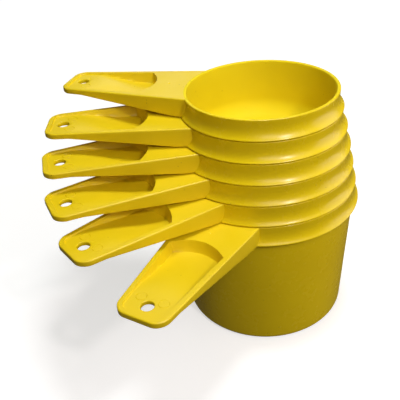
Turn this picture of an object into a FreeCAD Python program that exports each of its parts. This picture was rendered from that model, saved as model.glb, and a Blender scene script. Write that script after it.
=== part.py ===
"""Nesting set of six measuring cups, one-piece plastic mouldings, stacked with their handles fanned.

Each cup is modelled upright with the centre of its outer base at the origin and its handle along +X.
Its Placement then stands it in the stack: the stack's axis is Z, and the one cup's base is at Z = 0.
All sizes are millimetres, angles degrees and capacities millilitres.
"""
import FreeCAD, Part
import math
import os
import Sketcher

Vector = FreeCAD.Vector

SHARED = [
    ("pitch", 8.0, "height from one cup's rim to the rim of the cup that it stands in"),
    ("nest_gap", 0.25, "room under each lip, above the next rim"),
    ("wall", 1.5, "bowl wall"),
    ("base_wall", 1.6, "bowl floor"),
    ("draft", 3.0, "draft of the bowl wall"),
    ("lip_edge", 0.45, "height of the lip's sharp edge"),
    ("lip_flare", 4.4, "height of the concave flare from the band down to the lip"),
    ("flare_fillet", 8.0, "rounding where the flare leaves the band"),
    ("base_fillet", 2.6, "outer edge of the base"),
    ("corner_fillet", 8.0, "inside corner between floor and wall"),
    ("rim_fillet", 0.6, "rounding of the rim"),
    ("root_half_width", 16.0, "half the handle's width inside the rim"),
    ("tip_half_width", 9.5, "half the handle's width at its tip"),
    ("tip_beyond_hole", 6.5, "from the hang hole's centre to the tip"),
    ("tip_corner", 4.5, "corner radius of the tip"),
    ("skirt", 1.5, "thickness of the handle's side skirts"),
    ("tip_skirt", 2.2, "height of the skirt at the tip"),
    ("tip_level", 9.8, "length of the tip's level underside"),
    ("web", 1.5, "thickness of the flat web beside the rim"),
    ("border", 2.0, "raised border beside the scoop"),
    ("scoop_start", 13.0, "from the rim to the scoop's end wall"),
    ("scoop_slope", 1.0, "run of the scoop's end wall"),
    ("scoop_depth", 4.8, "deepest point of the scoop"),
    ("scoop_corner", 9.0, "plan radius of the scoop's end"),
    ("scoop_flat", 10.3, "from the tip to the foot of the scoop's ramp, where the handle is solid"),
    ("recess", 0.6, "depth of the tip's floor below its border"),
    ("scoop_floor", 1.2, "thickness of the scoop's floor"),
    ("hole_radius", 2.3, "hang hole"),
]

# name, capacity, rim radius, lip radius, rim to hang hole, direction of the handle; smallest cup first
CUPS = [
    ("quarter_cup", 59.1, 30.6, 32.3, 45.7, 169.0),
    ("third_cup", 78.9, 32.1, 34.1, 46.7, 187.6),
    ("half_cup", 118.3, 33.9, 35.8, 47.2, 199.4),
    ("two_thirds_cup", 157.7, 35.5, 37.3, 47.6, 211.1),
    ("three_quarter_cup", 177.4, 37.1, 38.8, 48.0, 223.2),
    ("one_cup", 236.6, 38.6, 40.2, 49.0, 245.0),
]

OVERSHOOT = 1.0      # how far a cutting tool reaches past the face that it cuts
ROOT_SHARE = 0.7     # the handle starts inside the bowl, at this share of the rim radius
CORNER_CENTRE = 0.22  # a rounded corner's missing section is centred this share of its radius from each face
FLAT = FreeCAD.Rotation()
UPRIGHT = FreeCAD.Rotation(Vector(1, 0, 0), 90)


def bowl_volume(depth, top_radius, draft, corner):
    """Inside volume in cubic millimetres of a drafted bowl with a rounded floor corner."""
    floor_radius = top_radius - depth * math.tan(math.radians(draft))
    frustum = math.pi * depth * (top_radius**2 + top_radius * floor_radius + floor_radius**2) / 3
    ring_section = (1 - math.pi / 4) * corner**2
    ring_radius = floor_radius - CORNER_CENTRE * corner
    return frustum - 2 * math.pi * ring_radius * ring_section


def depth_for(capacity, top_radius, draft, corner):
    """Depth in millimetres at which a bowl filled level to its rim holds the capacity in millilitres."""
    shallow = corner
    deep = 4 * top_radius
    while deep - shallow > 1e-4:
        middle = (shallow + deep) / 2
        if bowl_volume(middle, top_radius, draft, corner) < capacity * 1000:
            shallow = middle
        else:
            deep = middle
    return round(deep, 3)


def make_sheet(doc):
    """The spreadsheet of driving dimensions: an alias beside each plain number."""
    sheet = doc.addObject("Spreadsheet::Sheet", "Sheet")
    shared = {alias: value for alias, value, _ in SHARED}
    rows = list(SHARED)
    for name, capacity, rim, lip, reach, direction in CUPS:
        depth = depth_for(capacity, rim - shared["wall"], shared["draft"], shared["corner_fillet"])
        rows += [
            (f"{name}_rim", rim, "rim radius, outside"),
            (f"{name}_lip", lip, "lip radius"),
            (f"{name}_depth", depth, f"inside depth, from {capacity} ml level to the rim"),
            (f"{name}_reach", reach, "from the rim to the hang hole's centre"),
            (f"{name}_direction", direction, "direction of the handle about the stack's axis"),
        ]
    for row, (alias, value, note) in enumerate(rows, start=1):
        sheet.set(f"A{row}", alias)
        sheet.set(f"B{row}", str(value))
        sheet.set(f"C{row}", note)
        sheet.setAlias(f"B{row}", alias)
    doc.recompute()
    return sheet


class Cup:
    """Builds one cup's features, with every size bound to the sheet."""

    def __init__(self, doc, sheet, name):
        self.doc = doc
        self.sheet = sheet
        self.name = name
        rim = self.own("rim")
        self.height = f"({self.own('depth')} + Sheet.base_wall)"
        self.slope = "tan(Sheet.draft * 1 deg)"
        self.lip_drop = "(Sheet.pitch - Sheet.nest_gap)"
        self.hole_x = f"({rim} + {self.own('reach')})"
        self.tip_x = f"({self.hole_x} + Sheet.tip_beyond_hole)"
        self.root_x = f"({ROOT_SHARE} * {rim})"
        self.scoop_x = f"({rim} + Sheet.scoop_start)"

    def own(self, size):
        return f"Sheet.{self.name}_{size}"

    def value(self, expression):
        return float(self.sheet.evalExpression(expression.replace("Sheet.", "")))

    def feature(self, kind, label):
        return self.doc.addObject(kind, f"{self.name}_{label}")

    def polygon(self, label, rotation, corners):
        """A fully constrained closed outline through corners given as expressions."""
        sketch = self.feature("Sketcher::SketchObject", label)
        sketch.Placement = FreeCAD.Placement(Vector(0, 0, 0), rotation)
        points = [Vector(self.value(x), self.value(y), 0) for x, y in corners]
        for start, end in zip(points, points[1:] + points[:1]):
            sketch.addGeometry(Part.LineSegment(start, end), False)
        for side in range(len(points)):
            following = (side + 1) % len(points)
            sketch.addConstraint(Sketcher.Constraint("Coincident", side, 2, following, 1))
        for side, (corner, point) in enumerate(zip(corners, points)):
            for kind, expression, size in zip(("DistanceX", "DistanceY"), corner, point):
                number = sketch.addConstraint(Sketcher.Constraint(kind, -1, 1, side, 1, size))
                sketch.setExpression(f"Constraints[{number}]", expression)
        return sketch

    def revolve(self, label, sketch):
        turned = self.feature("Part::Revolution", label)
        turned.Source = sketch
        turned.Axis = Vector(0, 0, 1)
        turned.Angle = 360
        turned.Solid = True
        return turned

    def extrude(self, label, sketch, direction, length, symmetric=False):
        prism = self.feature("Part::Extrusion", label)
        prism.Base = sketch
        prism.DirMode = "Custom"
        prism.Dir = direction
        prism.Solid = True
        prism.Symmetric = symmetric
        prism.setExpression("LengthFwd", length)
        return prism

    def combine(self, kind, label, shapes):
        joined = self.feature(kind, label)
        joined.Shapes = shapes
        return joined

    def cut(self, label, base, tool):
        rest = self.feature("Part::Cut", label)
        rest.Base = base
        rest.Tool = tool
        return rest

    def round_edges(self, label, base, choices):
        """A fillet on the edges of base that each (test, radius) choice picks out."""
        self.doc.recompute()
        picked = []
        for test, radius in choices:
            numbers = [i for i, edge in enumerate(base.Shape.Edges, start=1) if test(edge)]
            if not numbers:
                raise ValueError(f"{self.name}: no edge to round for {label}")
            picked += [(number, radius, radius) for number in numbers]
        rounded = self.feature("Part::Fillet", label)
        rounded.Base = base
        rounded.Edges = picked
        return rounded

    def ring_at(self, radius, height):
        """A test for the circular edge about Z with this radius, at this height."""
        def test(edge):
            curve = edge.Curve
            if not isinstance(curve, Part.Circle):
                return False
            return abs(curve.Radius - radius) < 0.01 and abs(curve.Center.z - height) < 0.01
        return test

    def upright_at(self, x):
        """A test for the vertical edges that stand at this x."""
        def test(edge):
            ends = [vertex.Point for vertex in edge.Vertexes]
            if len(ends) != 2 or abs(ends[0].z - ends[1].z) < 0.1:
                return False
            return all(abs(end.x - x) < 0.01 for end in ends)
        return test

    def outer_bowl(self):
        """The bowl filled solid: drafted wall, and a lip that flares out below the band."""
        rim, lip = self.own("rim"), self.own("lip")
        top = self.height
        lip_under = f"{top} - {self.lip_drop}"
        lip_over = f"{lip_under} + Sheet.lip_edge"
        base_radius = f"{rim} - {top} * {self.slope}"
        under_radius = f"{rim} - {self.lip_drop} * {self.slope}"
        flare_top = f"{lip_over} + Sheet.lip_flare"
        flare_radius = f"{rim} - ({self.lip_drop} - Sheet.lip_edge - Sheet.lip_flare) * {self.slope}"
        outline = [
            ("0", "0"),
            (base_radius, "0"),
            (under_radius, lip_under),
            (lip, lip_under),
            (lip, lip_over),
            (flare_radius, flare_top),
            (rim, top),
            ("0", top),
        ]
        solid = self.revolve("bowl_blank", self.polygon("bowl_outline", UPRIGHT, outline))
        return self.round_edges("bowl", solid, [
            (self.ring_at(self.value(base_radius), 0), self.value("Sheet.base_fillet")),
            (self.ring_at(self.value(flare_radius), self.value(flare_top)), self.value("Sheet.flare_fillet")),
            (self.ring_at(self.value(rim), self.value(top)), self.value("Sheet.rim_fillet")),
        ])

    def cavity(self):
        """The inside of the bowl, reaching past the rim, with its floor corner rounded."""
        inner_rim = f"({self.own('rim')} - Sheet.wall)"
        floor_radius = f"{inner_rim} - {self.own('depth')} * {self.slope}"
        outline = [
            ("0", "Sheet.base_wall"),
            (floor_radius, "Sheet.base_wall"),
            (f"{inner_rim} + {OVERSHOOT} * {self.slope}", f"{self.height} + {OVERSHOOT}"),
            ("0", f"{self.height} + {OVERSHOOT}"),
        ]
        solid = self.revolve("cavity_blank", self.polygon("cavity_outline", UPRIGHT, outline))
        ring = self.ring_at(self.value(floor_radius), self.value("Sheet.base_wall"))
        return self.round_edges("cavity", solid, [(ring, self.value("Sheet.corner_fillet"))])

    def half_width(self, x, inset):
        """Half the width, at x, of an outline that lies inset from the handle's tapered sides."""
        narrowing = "(Sheet.root_half_width - Sheet.tip_half_width)"
        share = f"({x} - {self.root_x}) / ({self.tip_x} - {self.root_x})"
        return f"(Sheet.root_half_width - {narrowing} * {share} - {inset})"

    def tapered_prism(self, label, start, end, inset, bottom, length):
        """A prism whose plan is the handle's taper between start and end, inset from its sides."""
        near = self.half_width(start, inset)
        far = self.half_width(end, inset)
        outline = self.polygon(f"{label}_plan", FLAT, [
            (start, f"-{near}"),
            (end, f"-{far}"),
            (end, far),
            (start, near),
        ])
        outline.setExpression("Placement.Base.z", bottom)
        return self.extrude(label, outline, Vector(0, 0, 1), length)

    def side_prism(self, label, corners):
        """A prism across the whole handle, from an outline seen from its side."""
        outline = self.polygon(f"{label}_side", UPRIGHT, corners)
        return self.extrude(label, outline, Vector(0, 1, 0), "4 * Sheet.root_half_width", symmetric=True)

    def handle_block(self):
        """The handle as a solid tongue: level top, rounded tip, underside rising to the tip."""
        band_bottom = f"({self.height} - {self.lip_drop})"
        blank = self.tapered_prism("handle_blank", self.root_x, self.tip_x, "0", band_bottom, self.lip_drop)
        tip = self.upright_at(self.value(self.tip_x))
        rounded = self.round_edges("handle_rounded", blank, [(tip, self.value("Sheet.tip_corner"))])
        past_tip = f"{self.tip_x} + {OVERSHOOT}"
        skirt_edge = f"{self.height} - Sheet.tip_skirt"
        below = self.side_prism("below_handle", [
            (self.own("lip"), f"{band_bottom} - {OVERSHOOT}"),
            (past_tip, f"{band_bottom} - {OVERSHOOT}"),
            (past_tip, skirt_edge),
            (f"{self.tip_x} - Sheet.tip_level", skirt_edge),
            (self.own("lip"), band_bottom),
        ])
        return self.cut("handle_block", rounded, below)

    def floor_line(self, drop):
        """The scoop's floor as seen from the side, lowered by drop, from the end wall to the tip."""
        shift = f"({drop}) / Sheet.scoop_depth * Sheet.scoop_slope"
        deep_z = f"{self.height} - Sheet.scoop_depth - {drop}"
        flat_z = f"{self.height} - Sheet.recess - {drop}"
        return [
            (f"{self.scoop_x} + Sheet.scoop_slope - {shift}", deep_z),
            (f"{self.tip_x} - Sheet.scoop_flat", flat_z),
        ], flat_z

    def scoop(self):
        """The thumb scoop: deep beside the bowl, ramping up to the tip's shallow recess."""
        floor, flat_z = self.floor_line("0")
        above = f"{self.height} + {OVERSHOOT}"
        inner_tip = f"({self.tip_x} - Sheet.border)"
        side = self.side_prism("scoop_profile", [
            (self.scoop_x, above),
            (self.scoop_x, self.height),
            *floor,
            (inner_tip, flat_z),
            (inner_tip, above),
        ])
        bottom = f"{self.height} - Sheet.pitch"
        plan = self.tapered_prism(
            "scoop_blank", self.scoop_x, inner_tip, "Sheet.border", bottom, "2 * Sheet.pitch")
        ends = [
            (self.upright_at(self.value(self.scoop_x)), self.value("Sheet.scoop_corner")),
            (self.upright_at(self.value(inner_tip)), self.value("Sheet.tip_corner - Sheet.border")),
        ]
        rounded = self.round_edges("scoop_rounded", plan, ends)
        return self.combine("Part::MultiCommon", "scoop", [side, rounded])

    def hollow(self):
        """The space under the handle, between its skirts, its web, the scoop's floor and the solid tip."""
        floor = self.floor_line("Sheet.scoop_floor")[0]
        below = f"{self.height} - Sheet.pitch - {OVERSHOOT}"
        under_web = f"{self.height} - Sheet.web"
        end = f"({self.tip_x} - Sheet.scoop_flat)"
        side = self.side_prism("hollow_profile", [
            (self.root_x, below),
            (end, below),
            *reversed(floor),
            (f"{self.scoop_x} - Sheet.scoop_floor", under_web),
            (self.root_x, under_web),
        ])
        plan = self.tapered_prism(
            "hollow_blank", self.root_x, end, "Sheet.skirt", below, "2 * Sheet.pitch")
        corner = self.upright_at(self.value(end))
        rounded = self.round_edges(
            "hollow_rounded", plan, [(corner, self.value("Sheet.tip_corner - Sheet.skirt"))])
        space = self.combine("Part::MultiCommon", "hollow_space", [side, rounded])
        bowl = self.feature("Part::Cylinder", "bowl_clear")
        bowl.setExpression("Radius", self.own("lip"))
        bowl.setExpression("Height", f"{self.height} + {OVERSHOOT}")
        return self.cut("hollow", space, bowl)

    def hang_hole(self):
        hole = self.feature("Part::Cylinder", "hang_hole")
        hole.setExpression("Radius", "Sheet.hole_radius")
        hole.setExpression("Height", "2 * Sheet.pitch")
        hole.setExpression("Placement.Base.x", self.hole_x)
        hole.setExpression("Placement.Base.z", f"{self.height} - Sheet.pitch")
        return hole

    def build(self, level):
        """The finished cup, standing in the stack this many cups above the one cup."""
        body = self.combine("Part::MultiFuse", "moulding", [self.outer_bowl(), self.handle_block()])
        emptied = self.cut("emptied", body, self.cavity())
        scooped = self.cut("scooped", emptied, self.scoop())
        hollowed = self.cut("hollowed", scooped, self.hollow())
        drilled = self.cut("drilled", hollowed, self.hang_hole())
        inner_rim = self.ring_at(self.value(f"{self.own('rim')} - Sheet.wall"), self.value(self.height))
        cup = self.round_edges("cup", drilled, [(inner_rim, self.value("Sheet.rim_fillet"))])
        cup.Label = self.name
        base_z = f"Sheet.one_cup_depth + Sheet.base_wall + {level} * Sheet.pitch - {self.height}"
        cup.setExpression("Placement.Base.z", base_z)
        cup.setExpression("Placement.Rotation.Angle", self.own("direction"))
        return cup


def check(doc, cups):
    """Stops with a plain message if any object failed or any cup isn't one valid solid."""
    for item in doc.Objects:
        if "Invalid" in item.State or "Error" in item.State:
            raise RuntimeError(f"{item.Name} failed: {item.State}")
    for cup in cups:
        if cup.Shape.isNull() or not cup.Shape.isValid() or len(cup.Shape.Solids) != 1:
            raise RuntimeError(f"{cup.Label} isn't one valid solid")


def main():
    doc = FreeCAD.newDocument("measuring_cups")
    sheet = make_sheet(doc)
    cups = []
    for position, row in enumerate(CUPS):
        level = len(CUPS) - 1 - position
        cups.append(Cup(doc, sheet, row[0]).build(level))
    doc.recompute()
    check(doc, cups)
    os.makedirs("parts", exist_ok=True)
    for cup in cups:
        cup.Shape.exportStep(f"parts/{cup.Label}.step")
        box = cup.Shape.BoundBox
        print(f"{cup.Label}: {cup.Shape.Volume / 1000:.2f} cm3, z {box.ZMin:.2f} to {box.ZMax:.2f},"
              f" x {box.XMin:.1f} to {box.XMax:.1f}")


main()
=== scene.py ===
"""Nesting measuring cups in Blender: the visible mouldings, their plastic, and the studio around them.

Lengths are millimetres in the cups' own frames (handle along +X, Z up from the base) until a mesh is made.
"""
import math

import bmesh
import bpy
from mathutils import Matrix, Vector


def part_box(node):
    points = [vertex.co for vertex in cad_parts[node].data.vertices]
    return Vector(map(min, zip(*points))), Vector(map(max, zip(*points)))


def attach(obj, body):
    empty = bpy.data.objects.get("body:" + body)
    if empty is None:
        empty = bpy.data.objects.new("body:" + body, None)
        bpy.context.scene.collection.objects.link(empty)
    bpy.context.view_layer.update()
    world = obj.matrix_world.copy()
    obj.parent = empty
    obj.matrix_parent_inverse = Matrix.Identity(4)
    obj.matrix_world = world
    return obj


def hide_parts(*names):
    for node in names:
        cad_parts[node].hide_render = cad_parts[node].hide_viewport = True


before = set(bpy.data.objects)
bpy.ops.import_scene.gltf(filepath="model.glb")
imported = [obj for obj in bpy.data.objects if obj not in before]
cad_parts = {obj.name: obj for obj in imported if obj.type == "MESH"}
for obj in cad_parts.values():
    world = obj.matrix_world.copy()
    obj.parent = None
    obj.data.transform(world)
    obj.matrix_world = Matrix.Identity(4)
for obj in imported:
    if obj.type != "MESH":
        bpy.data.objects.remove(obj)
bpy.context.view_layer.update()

MM = 0.001

# The stack, smallest cup first: name, rim radius, lip radius, rim to hang hole, direction of the handle
CUPS = [
    ("quarter_cup", 30.6, 32.3, 45.7, 169.0),
    ("third_cup", 32.1, 34.1, 46.7, 187.6),
    ("half_cup", 33.9, 35.8, 47.2, 199.4),
    ("two_thirds_cup", 35.5, 37.3, 47.6, 211.1),
    ("three_quarter_cup", 37.1, 38.8, 48.0, 223.2),
    ("one_cup", 38.6, 40.2, 49.0, 245.0),
]

# Bowl; the lip's lower edge is LIP_DROP below the rim, and its flare runs up from there
WALL = 1.5
BASE_WALL = 1.6
DRAFT = math.tan(math.radians(3.0))
LIP_DROP = 7.62
LIP_EDGE = 0.4
LIP_FLARE = 4.6
LIP_INSET = 0.04
LIP_BEVEL = 0.12
WALL_STOP = 0.3
RIM_ROUND = 0.6
RIM_EDGE = 0.35
BASE_FILLET = 2.6
CORNER_FILLET = 8.0
BASE_RINGS = (0.0, 6.0, 12.0, 18.0, 24.0)
FLOOR_RINGS = (14.0, 7.0, 0.0)
WALL_STEP = 4.0
MIN_WALL_STEPS = 4
FILLET_STEPS = 8
FLARE_STEPS = 14
RIM_STEPS = 6
CORNER_STEPS = 14
TURNS = 144
# Small roundings under the lip, as points out from the wall or the lip and up from the lip's underside
LIP_JOIN = ((0.1, -0.07), (0.35, 0.0))
LIP_CORNER = ((-0.2, 0.0), (-0.05, 0.04), (0.0, 0.15))

# Handle; its width tapers from ROOT_HALF_WIDTH, at ROOT_SHARE of the rim's radius, to TIP_HALF_WIDTH
ROOT_SHARE = 0.7
ROOT_HALF_WIDTH = 16.0
TIP_HALF_WIDTH = 9.5
TIP_BEYOND_HOLE = 6.5
TIP_CORNER = 4.5

# Skirt; it is TIP_SKIRT high from TIP_LEVEL before the tip onwards, and the handle is hollow inside it
TIP_SKIRT = 2.2
TIP_LEVEL = 9.8
SKIRT = 1.5
SKIRT_ABOVE_LIP = 0.05
SKIRT_ROUND = 0.3
HOLLOW_SLOPE = 5.0
WEB = 1.5
BORDER = 2.0
EDGE_ROUND = 0.5

# Scoop; its end wall is a shallow arc, and its floor rises in an S-curve to the recess at the tip
SCOOP_START = 13.0
SCOOP_ARC = 12.5
SCOOP_DEPTH = 4.8
SCOOP_FLAT = 10.3
SCOOP_FLOOR = 1.2
SCOOP_LEVEL_SHARE = 0.08
SCOOP_DISH = 0.22
SCOOP_WALL_SLOPE = 4.5
SCOOP_WALL_ROUND = 0.2
SCOOP_CORNER_BLEND = 0.6
SCOOP_FLOOR_BLEND = 0.4
SHALLOW_BLEND = 0.9
RECESS = 0.6

# Hang hole; each point of its eased mouths is so far out from its wall and so far in from its end
HOLE_RADIUS = 2.3
HOLE_TURNS = 48
HOLE_MOUTH = ((0.25, -1.0), (0.2, -0.03), (0.06, 0.06), (0.0, 0.2))

# Ejector marks beside the hole, drawn by a groove, and the gate's dimple on the web
MARK_RADIUS = 1.85
MARK_BACK = 3.1
MARK_OUT = 4.4
GROOVE = 0.22
GROOVE_POINT = 0.8
GROOVE_TURNS = 40
GATE_RADIUS = 0.55
GATE_DEPTH = 0.3
GATE_FROM_RIM = 7.0
GATE_TURNS = 20

# The handle's grid: lines beside its edges, across its web, and beyond the scoop's end wall
EDGE_OFFSETS = (0.0, 0.04, 0.12, 0.24, 0.38, 0.55, 1.0, 1.5, 1.7, 1.85)
EDGE_OFFSETS += (2.0, 2.1, 2.25, 2.45, 2.7, 2.95, 3.2, 3.5, 4.1)
WEB_SHARES = (0.0, 0.02, 0.06, 0.14, 0.26, 0.4, 0.54, 0.68, 0.8, 0.89, 0.95)
SCOOP_OFFSETS = (-0.15, 0.0, 0.08, 0.2, 0.4, 0.65, 0.95, 1.3, 1.7, 2.3, 3.1)
RAMP_STEPS = 22
INNER_STEPS = 14
SIDE_STEPS = 4
CROSSING_ROUNDS = 6
SHARP_ANGLE = 35.0
MERGE_DISTANCE = 0.001

# Colours are linear
YELLOW_DEEP = (0.73, 0.535, 0.003)
YELLOW_LIGHT = (0.77, 0.575, 0.004)
# Painted light: the bowl's inside gets a greener, lemon copy of the plastic's yellow, standing in for the
# lemon cast of its brightly lit hollow
PAINTED_LIGHT_LEMON_DEEP = (0.72, 0.568, 0.006)
PAINTED_LIGHT_LEMON_PALE = (0.76, 0.608, 0.008)
SPECK = (0.22, 0.13, 0.01)
SPECK_SIZE = 0.11
SPECK_PATCH = 0.64
SPECK_STRENGTH = 0.45
NOISE_SPAN = (0.3, 0.7)
HAIR_SPAN = (0.66, 0.74)
HAIR_TURN = (0.2, 0.1, 0.5)
HAIR_STRETCH = (60.0, 1400.0, 1400.0)

# A finish is its name, its lowest and highest roughness, its specular level and its two shades of yellow
FINISHES = [
    ("glossy", (0.20, 0.32), 0.42, (YELLOW_DEEP, YELLOW_LIGHT)),
    ("satin", (0.34, 0.48), 0.50, (YELLOW_DEEP, YELLOW_LIGHT)),
    # The third finish carries painted light: the lemon copy of the yellow, for the bowl's inside
    ("dull", (0.60, 0.72), 0.15, (PAINTED_LIGHT_LEMON_DEEP, PAINTED_LIGHT_LEMON_PALE)),
]
# The bowl's outside keeps the first finish
HANDLE_FINISH = 1
INSIDE_DULL_AND_PAINTED_LIGHT = 2

# Lights and studio, in metres; a light is its name, place, size, power and colour
WARM_LIGHT = (1.0, 0.92, 0.90)
COOL_LIGHT = (0.97, 1.0, 1.0)
WHITE = (1.0, 1.0, 1.0)
LIGHT_AIM = Vector((0.0, 0.0, 0.06))
LIGHTS = [
    ("top", (0.03, 0.0, 0.52), 0.12, 1.36, COOL_LIGHT),
    ("key", (0.34, -0.24, 0.42), 0.34, 0.36, WARM_LIGHT),
    ("right", (0.50, 0.05, 0.14), 0.45, 0.95, WARM_LIGHT),
    ("front", (0.10, -0.45, 0.40), 0.25, 0.52, WARM_LIGHT),
    ("glint", (0.24, -0.34, 0.40), 0.04, 0.86, WARM_LIGHT),
    ("back", (-0.05, 0.45, 0.38), 0.35, 0.36, WHITE),
]
WORLD_COLOUR = (1.0, 0.90, 0.62)
WORLD_STRENGTH = 0.09
FLOOR_HALF_SIZE = 3.0
FLOOR_TONES = (0.56, 0.60)
FLOOR_GLOW = (0.60, 0.92)
FLOOR_GLOW_RUN = (0.12, 0.70)
BACKDROP_RADIUS = 2.8

# Camera, in metres; its angles are yaw, pitch and roll in degrees, and its lens and sensor are millimetres
CAMERA_PLACE = Vector((0.0, -0.21048, 0.18680))
CAMERA_ANGLES = (-7.46, 32.865, -4.996)
CAMERA_LENS = 51.14
CAMERA_SENSOR = 36.0
CAMERA_CLIP = 0.01


def arc(centre, radius, start, end, steps):
    """Points of an arc in a (radius, height) section; angles in degrees, ends included."""
    points = []
    for step in range(steps + 1):
        angle = math.radians(start + (end - start) * step / steps)
        points.append((centre[0] + radius * math.cos(angle), centre[1] + radius * math.sin(angle)))
    return points


def bowl_section(rim, lip, height):
    """The bowl's wall in section, from the axis under the base, up the outside and down the inside."""
    def outside(z):
        return rim - (height - z) * DRAFT

    def inside(z):
        return outside(z) - WALL

    lip_under = height - LIP_DROP
    lip_over = lip_under + LIP_EDGE
    flare_top = lip_over + LIP_FLARE
    flare_out = lip - LIP_INSET - outside(flare_top)
    flare_radius = (flare_out**2 + LIP_FLARE**2) / (2 * flare_out)
    flare_turn = math.degrees(math.asin(LIP_FLARE / flare_radius))
    section = [(r, 0.0) for r in BASE_RINGS]
    section += arc((outside(BASE_FILLET) - BASE_FILLET, BASE_FILLET), BASE_FILLET, -90, 0, FILLET_STEPS)
    wall_steps = max(MIN_WALL_STEPS, round((lip_under - BASE_FILLET) / WALL_STEP))
    for step in range(1, wall_steps + 1):
        z = BASE_FILLET + (lip_under - WALL_STOP - BASE_FILLET) * step / wall_steps
        section.append((outside(z), z))
    section += [(outside(lip_under) + out, lip_under + up) for out, up in LIP_JOIN]
    section += [(lip + out, lip_under + up) for out, up in LIP_CORNER]
    section.append((lip, lip_over - LIP_BEVEL))
    centre = (outside(flare_top) + flare_radius, flare_top)
    section += arc(centre, flare_radius, 180 + flare_turn, 180, FLARE_STEPS)
    z = (flare_top + height - RIM_EDGE) / 2
    section.append((outside(z), z))
    section += arc((outside(height) - RIM_EDGE, height - RIM_EDGE), RIM_EDGE, 0, 90, RIM_STEPS)
    section += arc((inside(height) + RIM_ROUND, height - RIM_ROUND), RIM_ROUND, 90, 180, RIM_STEPS)
    floor_corner = BASE_WALL + CORNER_FILLET
    wall_steps = max(MIN_WALL_STEPS, round((height - RIM_ROUND - floor_corner) / WALL_STEP))
    for step in range(1, wall_steps):
        z = height - RIM_ROUND + (floor_corner - height + RIM_ROUND) * step / wall_steps
        section.append((inside(z), z))
    centre = (inside(floor_corner) - CORNER_FILLET, floor_corner)
    section += arc(centre, CORNER_FILLET, 0, -90, CORNER_STEPS)
    section += [(r, BASE_WALL) for r in FLOOR_RINGS]
    return section


def lathe(section, name, turns=TURNS):
    """A closed quad mesh turned about Z from a section that starts and ends on the axis."""
    mesh = bmesh.new()
    rings = []
    for r, z in section:
        if r < 1e-6:
            rings.append([mesh.verts.new((0, 0, z * MM))])
            continue
        ring = []
        for turn in range(turns):
            angle = 2 * math.pi * turn / turns
            ring.append(mesh.verts.new((r * math.cos(angle) * MM, r * math.sin(angle) * MM, z * MM)))
        rings.append(ring)
    for lower, upper in zip(rings, rings[1:]):
        for turn in range(turns):
            after = (turn + 1) % turns
            a, b = lower[turn % len(lower)], lower[after % len(lower)]
            c, d = upper[after % len(upper)], upper[turn % len(upper)]
            mesh.faces.new(list(dict.fromkeys((a, b, c, d))))
    return to_object(mesh, name)


def to_object(mesh, name):
    """A scene object made from a finished bmesh, with its faces turned outwards."""
    bmesh.ops.recalc_face_normals(mesh, faces=mesh.faces)
    data = bpy.data.meshes.new(name)
    mesh.to_mesh(data)
    mesh.free()
    thing = bpy.data.objects.new(name, data)
    bpy.context.scene.collection.objects.link(thing)
    return thing


def smooth_step(x):
    """Runs from 0 to 1 in an S-curve that is level at both ends."""
    x = min(max(x, 0.0), 1.0)
    return x * x * (3 - 2 * x)


def soft_min(a, b, blend):
    """The smaller of two depths, with a rounded corner between them."""
    h = min(max(0.5 + 0.5 * (b - a) / blend, 0.0), 1.0)
    return b + (a - b) * h - blend * h * (1 - h)


def rounding(distance, radius):
    """How far a corner rounded to radius lies below its sharp edge, at this distance in from it."""
    return radius - math.sqrt(radius**2 - (radius - max(distance, 0))**2)


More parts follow.
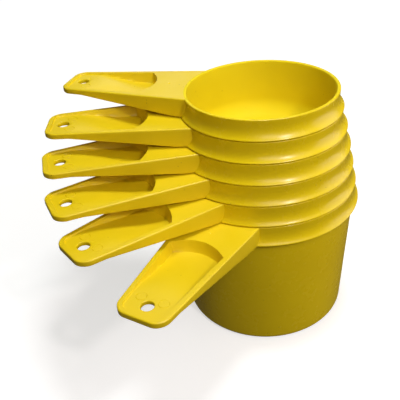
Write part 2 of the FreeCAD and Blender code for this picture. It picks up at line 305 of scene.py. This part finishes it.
class Handle:
    """The handle's plan, and the depths of its top and bottom surfaces below the rim."""

    def __init__(self, rim, lip, reach):
        self.rim = rim
        self.lip = lip
        self.root = rim - WALL / 2
        self.hole = rim + reach
        self.tip = self.hole + TIP_BEYOND_HOLE
        self.scoop = rim + SCOOP_START
        self.foot = self.tip - SCOOP_FLAT

    def half_width(self, x):
        """Half the handle's width, which tapers towards the tip."""
        start = ROOT_SHARE * self.rim
        taper = (ROOT_HALF_WIDTH - TIP_HALF_WIDTH) / (self.tip - start)
        return ROOT_HALF_WIDTH - taper * (x - start)

    def skirt(self, x):
        """Depth of the skirt's lower edge."""
        level = self.tip - TIP_LEVEL
        share = (x - self.lip) / (level - self.lip)
        full = LIP_DROP - SKIRT_ABOVE_LIP
        return full + (TIP_SKIRT - full) * min(max(share, 0.0), 1.0)

    def scoop_line(self, y):
        """The x of the scoop's end wall at this y."""
        return self.scoop + y**2 / (2 * SCOOP_ARC)

    def floor_depth(self, x, y):
        """Depth of the scoop's dished floor, without its walls."""
        run = (x - self.scoop_line(y)) / (self.foot - self.scoop)
        ramp = 1 - smooth_step((run - SCOOP_LEVEL_SHARE) / (1 - SCOOP_LEVEL_SHARE))
        dish = 1 - SCOOP_DISH * (y / self.half_width(x))**2
        return RECESS + (SCOOP_DEPTH - RECESS) * ramp * dish

    def wall_depth(self, run):
        """Depth of a scoop wall at this distance in from its top, where it starts with a small rounding."""
        return math.sqrt((SCOOP_WALL_SLOPE * run)**2 + SCOOP_WALL_ROUND**2) - SCOOP_WALL_ROUND

    def depth(self, x, y, side, end):
        """Depth of the top surface; side and end are the distances in from the side and the tip."""
        inward = min(side - BORDER, end - BORDER)
        from_bowl = x - self.scoop_line(y)
        dip = 0.0
        if min(inward, from_bowl) > 0:
            floor = self.floor_depth(x, y)
            walls = soft_min(self.wall_depth(inward), self.wall_depth(from_bowl), SCOOP_CORNER_BLEND)
            blend = min(SCOOP_FLOOR_BLEND, SHALLOW_BLEND * floor)
            dip = max(0.0, soft_min(walls, floor, blend))
        edge = min(side, end)
        if edge < EDGE_ROUND:
            dip += rounding(edge, EDGE_ROUND)
        return dip

    def underside(self, x, y, side, end, dip):
        """Depth of the lower surface, which keeps its thickness under the scoop; dip is the top's depth."""
        skirt = self.skirt(x)
        edge = min(side, end)
        inward = min(edge - SKIRT, self.foot - x)
        if edge < SKIRT_ROUND:
            skirt -= rounding(edge, SKIRT_ROUND)
        if inward <= 0:
            return skirt
        ahead = max(dip, self.depth(x + SCOOP_FLOOR, y, side, end - SCOOP_FLOOR))
        shell = max(WEB, ahead + SCOOP_FLOOR)
        if shell >= skirt:
            return skirt
        return max(shell, skirt - HOLLOW_SLOPE * inward)


def handle_mesh(handle, height, name):
    """The handle's closed quad mesh, on a grid that follows its sides, its tip and the scoop's end."""
    stations = [("web", share) for share in WEB_SHARES]
    stations += [("scoop", offset) for offset in SCOOP_OFFSETS]
    stations += [("ramp", step / RAMP_STEPS) for step in range(1, RAMP_STEPS)]
    stations += [("tip", offset) for offset in reversed(EDGE_OFFSETS)]
    columns = [(-1, offset) for offset in EDGE_OFFSETS]
    columns += [(0, -1 + 2 * step / INNER_STEPS) for step in range(1, INNER_STEPS)]
    columns += [(1, offset) for offset in reversed(EDGE_OFFSETS)]

    def along(kind, value, y):
        """The x of a station's line at this y; the web's start from the bowl's wall."""
        line = handle.scoop_line(y)
        if kind == "web":
            root = math.sqrt(handle.root**2 - y**2)
            return root + (line + SCOOP_OFFSETS[0] - root) * value
        if kind == "scoop":
            return line + value
        if kind == "ramp":
            begin = line + SCOOP_OFFSETS[-1]
            return begin + (handle.tip - EDGE_OFFSETS[-1] - begin) * value
        return handle.tip - value

    def place(kind, value, sign, step):
        """Where a station's line crosses a column, before the tip's corners are rounded."""
        x = handle.scoop
        for _ in range(CROSSING_ROUNDS):
            width = handle.half_width(x)
            y = sign * (width - step) if sign else step * (width - EDGE_OFFSETS[-1])
            x = along(kind, value, y)
        return x, y

    def rounded(x, y, side, end):
        """Moves a point of the square tip corner onto the rounded one."""
        p, q = TIP_CORNER - end, TIP_CORNER - side
        if p <= 0 or q <= 0:
            return x, y
        reach = max(p, q)
        new_p = p * math.sqrt(1 - q * q / (2 * reach * reach))
        new_q = q * math.sqrt(1 - p * p / (2 * reach * reach))
        return x + new_p - p, y - math.copysign(q - new_q, y)

    mesh = bmesh.new()
    top, bottom = [], []
    for kind, value in stations:
        upper, lower = [], []
        for sign, step in columns:
            x, y = place(kind, value, sign, step)
            side = handle.half_width(x) - abs(y)
            end = handle.tip - x
            dip = handle.depth(x, y, side, end)
            low = handle.underside(x, y, side, end, dip)
            x, y = rounded(x, y, side, end)
            upper.append(mesh.verts.new((x * MM, y * MM, (height - dip) * MM)))
            lower.append(mesh.verts.new((x * MM, y * MM, (height - low) * MM)))
        top.append(upper)
        bottom.append(lower)
    for rows in (top, bottom):
        for near, far in zip(rows, rows[1:]):
            for left in range(len(near) - 1):
                mesh.faces.new((near[left], near[left + 1], far[left + 1], far[left]))

    def outline(rows):
        """The outer loop of a skin: down one side, across the tip, back, and across the root."""
        there = [row[0] for row in rows]
        back = [row[-1] for row in reversed(rows)]
        return there + rows[-1][1:-1] + back + list(reversed(rows[0][1:-1]))

    last, final = outline(top), outline(bottom)
    ends = list(zip(last, final))
    for step in range(1, SIDE_STEPS + 1):
        share = step / SIDE_STEPS
        row = final if step == SIDE_STEPS else [mesh.verts.new(a.co.lerp(b.co, share)) for a, b in ends]
        for left in range(len(row)):
            right = (left + 1) % len(row)
            mesh.faces.new((last[left], last[right], row[right], row[left]))
        last = row
    return to_object(mesh, name)


def cutters(handle, height):
    """The closed meshes that cut the hang hole, the ejector marks beside it and the web's gate mark."""
    floor = height - RECESS
    under = height - TIP_SKIRT
    section = [(0.0, under - 1)]
    section += [(HOLE_RADIUS + out, under + into) for out, into in HOLE_MOUTH]
    section += [(HOLE_RADIUS + out, floor - into) for out, into in reversed(HOLE_MOUTH)]
    section.append((0.0, floor + 1))
    hole = lathe(section, "hole_cutter", HOLE_TURNS)
    hole.data.transform(Matrix.Translation((handle.hole * MM, 0, 0)))
    tools = [hole]
    for side in (-1, 1):
        mark = groove(MARK_RADIUS, floor, "mark_cutter")
        place = ((handle.hole - MARK_BACK) * MM, side * MARK_OUT * MM, 0)
        mark.data.transform(Matrix.Translation(place))
        tools.append(mark)
    gate = [(0.0, height - GATE_DEPTH), (GATE_RADIUS * 0.5, height - 0.7 * GATE_DEPTH)]
    gate += [(GATE_RADIUS, height + 0.05), (0.0, height + 1)]
    dimple = lathe(gate, "gate_cutter", GATE_TURNS)
    dimple.data.transform(Matrix.Translation(((handle.rim + GATE_FROM_RIM) * MM, 0, 0)))
    tools.append(dimple)
    return tools


def groove(radius, level, name):
    """A thin ring that cuts a V-shaped circle into a floor at this level."""
    section = [(radius - GROOVE, level + GROOVE), (radius, level - GROOVE * GROOVE_POINT)]
    section.append((radius + GROOVE, level + GROOVE))
    mesh = bmesh.new()
    rings = []
    for turn in range(GROOVE_TURNS):
        angle = 2 * math.pi * turn / GROOVE_TURNS
        across, along = math.cos(angle) * MM, math.sin(angle) * MM
        rings.append([mesh.verts.new((r * across, r * along, z * MM)) for r, z in section])
    for turn in range(GROOVE_TURNS):
        here, after = rings[turn], rings[(turn + 1) % GROOVE_TURNS]
        for corner in range(len(section)):
            following = (corner + 1) % len(section)
            mesh.faces.new((here[corner], here[following], after[following], after[corner]))
    return to_object(mesh, name)


def combine(target, operation, *tools):
    """Applies an exact boolean with each tool to target, and merges the corners that then coincide."""
    for tool in tools:
        step = target.modifiers.new(operation, "BOOLEAN")
        step.operation = operation
        step.solver = "EXACT"
        step.object = tool
    bpy.context.view_layer.update()
    graph = bpy.context.evaluated_depsgraph_get()
    data = bpy.data.meshes.new_from_object(target.evaluated_get(graph))
    mesh = bmesh.new()
    mesh.from_mesh(data)
    bmesh.ops.remove_doubles(mesh, verts=mesh.verts, dist=MERGE_DISTANCE * MM)
    mesh.to_mesh(data)
    mesh.free()
    target.modifiers.clear()
    target.data = data
    for tool in tools:
        bpy.data.objects.remove(tool)


def paint(thing, first, finish):
    """Gives a finish to the faces whose number is first or higher."""
    for face in thing.data.polygons[first:]:
        face.material_index = finish


def build_cup(row, plastics):
    """One moulding: bowl and handle in one mesh, standing where its CAD node stands."""
    name, rim, lip, reach, direction = row
    low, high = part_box(name)
    height = (high[2] - low[2]) / MM
    handle = Handle(rim, lip, reach)
    section = bowl_section(rim, lip, height)
    cup = lathe(section, f"{name}_moulding")
    tongue = handle_mesh(handle, height, "handle")
    for thing in (cup, tongue):
        for plastic in plastics:
            thing.data.materials.append(plastic)
    crest = section.index(max(section, key=lambda point: point[1]))
    # Painted light: the bowl's inside, from the rim's crest on, takes the lemon copy of the yellow
    paint(cup, crest * TURNS, INSIDE_DULL_AND_PAINTED_LIGHT)
    paint(tongue, 0, HANDLE_FINISH)
    combine(cup, "UNION", tongue)
    combine(cup, "DIFFERENCE", *cutters(handle, height))
    turn = Matrix.Rotation(math.radians(direction), 4, "Z")
    cup.data.transform(Matrix.Translation((0, 0, low[2])) @ turn)
    cup.data.shade_smooth()
    cup.data.set_sharp_from_angle(angle=math.radians(SHARP_ANGLE))
    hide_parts(name)
    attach(cup, name)


def node(tree, kind, x, y, **values):
    """A shader node at this place in the tree; each value sets the input or the property of its name."""
    made = tree.nodes.new(kind)
    made.location = (x, y)
    for key, value in values.items():
        if key in made.inputs:
            made.inputs[key].default_value = value
        else:
            setattr(made, key, value)
    return made


def math_node(tree, operation, x, y, *operands):
    """A math node whose operands are numbers or other nodes' outputs."""
    made = node(tree, "ShaderNodeMath", x, y, operation=operation)
    for socket, operand in zip(made.inputs, operands):
        if isinstance(operand, (int, float)):
            socket.default_value = operand
        else:
            tree.links.new(operand, socket)
    return made.outputs[0]


def map_range(tree, x, y, source, span, ends):
    """The output of a node that maps the source's span onto the ends."""
    made = node(tree, "ShaderNodeMapRange", x, y)
    for label, value in zip(("From Min", "From Max", "To Min", "To Max"), (*span, *ends)):
        made.inputs[label].default_value = value
    tree.links.new(source, made.inputs["Value"])
    return made.outputs["Result"]


def yellow_plastic(name, roughness, specular, shades):
    """Moulded plastic: soft colour drift, fine specks, hairline scratches and slightly uneven gloss."""
    material = bpy.data.materials.new(name)
    material.use_nodes = True
    tree = material.node_tree
    shader = tree.nodes["Principled BSDF"]
    shader.inputs["IOR"].default_value = 1.49
    shader.inputs["Specular IOR Level"].default_value = specular
    place = node(tree, "ShaderNodeTexCoord", -1400, 0)

    drift = node(tree, "ShaderNodeTexNoise", -1100, 300, Scale=38.0, Detail=3.0, Roughness=0.5)
    tree.links.new(place.outputs["Object"], drift.inputs["Vector"])
    tint = node(tree, "ShaderNodeValToRGB", -850, 300)
    for element, position, shade in zip(tint.color_ramp.elements, NOISE_SPAN, shades):
        element.position = position
        element.color = (*shade, 1)
    tree.links.new(drift.outputs["Fac"], tint.inputs["Fac"])

    specks = node(tree, "ShaderNodeTexVoronoi", -1100, 0, Scale=420.0)
    tree.links.new(place.outputs["Object"], specks.inputs["Vector"])
    patches = node(tree, "ShaderNodeTexNoise", -1100, -250, Scale=90.0, Detail=2.0)
    tree.links.new(place.outputs["Object"], patches.inputs["Vector"])
    near = math_node(tree, "LESS_THAN", -850, 0, specks.outputs["Distance"], SPECK_SIZE)
    some = math_node(tree, "GREATER_THAN", -850, -250, patches.outputs["Fac"], SPECK_PATCH)
    dirt = math_node(tree, "MULTIPLY", -650, -100, near, some)
    faint = math_node(tree, "MULTIPLY", -480, -100, dirt, SPECK_STRENGTH)
    speckled = node(tree, "ShaderNodeMix", -300, 250, data_type="RGBA")
    speckled.inputs[7].default_value = (*SPECK, 1)
    tree.links.new(faint, speckled.inputs[0])
    tree.links.new(tint.outputs["Color"], speckled.inputs[6])
    tree.links.new(speckled.outputs[2], shader.inputs["Base Color"])

    wear = node(tree, "ShaderNodeTexNoise", -1100, -500, Scale=120.0, Detail=5.0, Roughness=0.65)
    tree.links.new(place.outputs["Object"], wear.inputs["Vector"])
    gloss = map_range(tree, -850, -500, wear.outputs["Fac"], NOISE_SPAN, roughness)
    tree.links.new(gloss, shader.inputs["Roughness"])

    skin = node(tree, "ShaderNodeTexNoise", -1100, -800, Scale=900.0, Detail=2.0)
    tree.links.new(place.outputs["Object"], skin.inputs["Vector"])
    stretch = node(tree, "ShaderNodeMapping", -1250, -1050, Rotation=HAIR_TURN, Scale=HAIR_STRETCH)
    tree.links.new(place.outputs["Object"], stretch.inputs["Vector"])
    hair = node(tree, "ShaderNodeTexNoise", -1050, -1050, Scale=1.0, Detail=1.0)
    tree.links.new(stretch.outputs["Vector"], hair.inputs["Vector"])
    sparse = map_range(tree, -850, -1050, hair.outputs["Fac"], HAIR_SPAN, (0.0, -1.0))
    relief = math_node(tree, "ADD", -650, -850, skin.outputs["Fac"], sparse)
    bump = node(tree, "ShaderNodeBump", -400, -800, Strength=0.05, Distance=0.00005)
    tree.links.new(relief, bump.inputs["Height"])
    tree.links.new(bump.outputs["Normal"], shader.inputs["Normal"])
    return material


def floor_material():
    """A matt pale floor whose own weak glow grows away from the cups."""
    material = bpy.data.materials.new("studio_floor")
    material.use_nodes = True
    tree = material.node_tree
    shader = tree.nodes["Principled BSDF"]
    shader.inputs["Roughness"].default_value = 0.9
    shader.inputs["Specular IOR Level"].default_value = 0.1
    shader.inputs["Emission Color"].default_value = (*WHITE, 1)
    place = node(tree, "ShaderNodeTexCoord", -800, 0)
    away = node(tree, "ShaderNodeVectorMath", -600, -300, operation="LENGTH")
    tree.links.new(place.outputs["Object"], away.inputs[0])
    glow = map_range(tree, -400, -300, away.outputs["Value"], FLOOR_GLOW_RUN, FLOOR_GLOW)
    tree.links.new(glow, shader.inputs["Emission Strength"])
    grain = node(tree, "ShaderNodeTexNoise", -600, 0, Scale=6.0, Detail=3.0)
    tree.links.new(place.outputs["Object"], grain.inputs["Vector"])
    tone = node(tree, "ShaderNodeValToRGB", -400, 0)
    for element, grey in zip(tone.color_ramp.elements, FLOOR_TONES):
        element.color = (grey, grey, grey, 1)
    tree.links.new(grain.outputs["Fac"], tone.inputs["Fac"])
    tree.links.new(tone.outputs["Color"], shader.inputs["Base Color"])
    return material


def backdrop_material():
    """A plain glow as bright as the floor's far part."""
    material = bpy.data.materials.new("studio_backdrop")
    material.use_nodes = True
    shader = material.node_tree.nodes["Principled BSDF"]
    shader.inputs["Base Color"].default_value = (0, 0, 0, 1)
    shader.inputs["Specular IOR Level"].default_value = 0.0
    shader.inputs["Emission Color"].default_value = (*WHITE, 1)
    shader.inputs["Emission Strength"].default_value = FLOOR_GLOW[1]
    return material


def studio():
    """A pale glowing floor and backdrop, and soft lights overhead, in front, at the right and behind.

    A key light and a small glint from the front right draw the highlights along the lips.
    """
    mesh = bmesh.new()
    bmesh.ops.create_grid(mesh, x_segments=2, y_segments=2, size=FLOOR_HALF_SIZE)
    floor = to_object(mesh, "studio_floor")
    floor.data.materials.append(floor_material())
    mesh = bmesh.new()
    bmesh.ops.create_uvsphere(mesh, u_segments=48, v_segments=24, radius=BACKDROP_RADIUS)
    backdrop = to_object(mesh, "studio_backdrop")
    backdrop.data.materials.append(backdrop_material())
    backdrop.visible_shadow = False
    for stage in (floor, backdrop):
        stage.visible_diffuse = False  # white all round would flatten the light on the cups' sides
        stage.visible_glossy = False
    for name, place, size, power, colour in LIGHTS:
        data = bpy.data.lights.new(name, "AREA")
        data.shape = "DISK"
        data.size = size
        data.energy = power
        data.color = colour
        lamp = bpy.data.objects.new(name, data)
        lamp.location = place
        lamp.rotation_euler = (Vector(place) - LIGHT_AIM).to_track_quat("Z", "Y").to_euler()
        bpy.context.scene.collection.objects.link(lamp)
    world = bpy.data.worlds.new("studio_world")
    world.use_nodes = True
    sky = world.node_tree.nodes["Background"]
    sky.inputs["Color"].default_value = (*WORLD_COLOUR, 1)
    sky.inputs["Strength"].default_value = WORLD_STRENGTH
    bpy.context.scene.world = world
    bpy.context.scene.view_settings.view_transform = "Standard"  # keeps the plastic's saturated yellow


def camera():
    """In front of the stack and above it, tilted down at the bowls and rolled slightly."""
    yaw, pitch, roll = (math.radians(angle) for angle in CAMERA_ANGLES)
    ahead = Vector((math.sin(yaw) * math.cos(pitch), math.cos(yaw) * math.cos(pitch), -math.sin(pitch)))
    level = Vector((math.cos(yaw), -math.sin(yaw), 0))
    above = level.cross(ahead)
    right = math.cos(roll) * level + math.sin(roll) * above
    up = math.cos(roll) * above - math.sin(roll) * level
    data = bpy.data.cameras.new("camera")
    data.sensor_width = CAMERA_SENSOR
    data.lens = CAMERA_LENS
    data.clip_start = CAMERA_CLIP
    eye = bpy.data.objects.new("camera", data)
    eye.matrix_world = Matrix.Translation(CAMERA_PLACE) @ Matrix((right, up, -ahead)).transposed().to_4x4()
    bpy.context.scene.collection.objects.link(eye)
    bpy.context.scene.camera = eye


camera()
studio()
PLASTICS = [yellow_plastic(f"yellow_plastic_{name}", *finish) for name, *finish in FINISHES]
for cup_row in CUPS:
    build_cup(cup_row, PLASTICS)
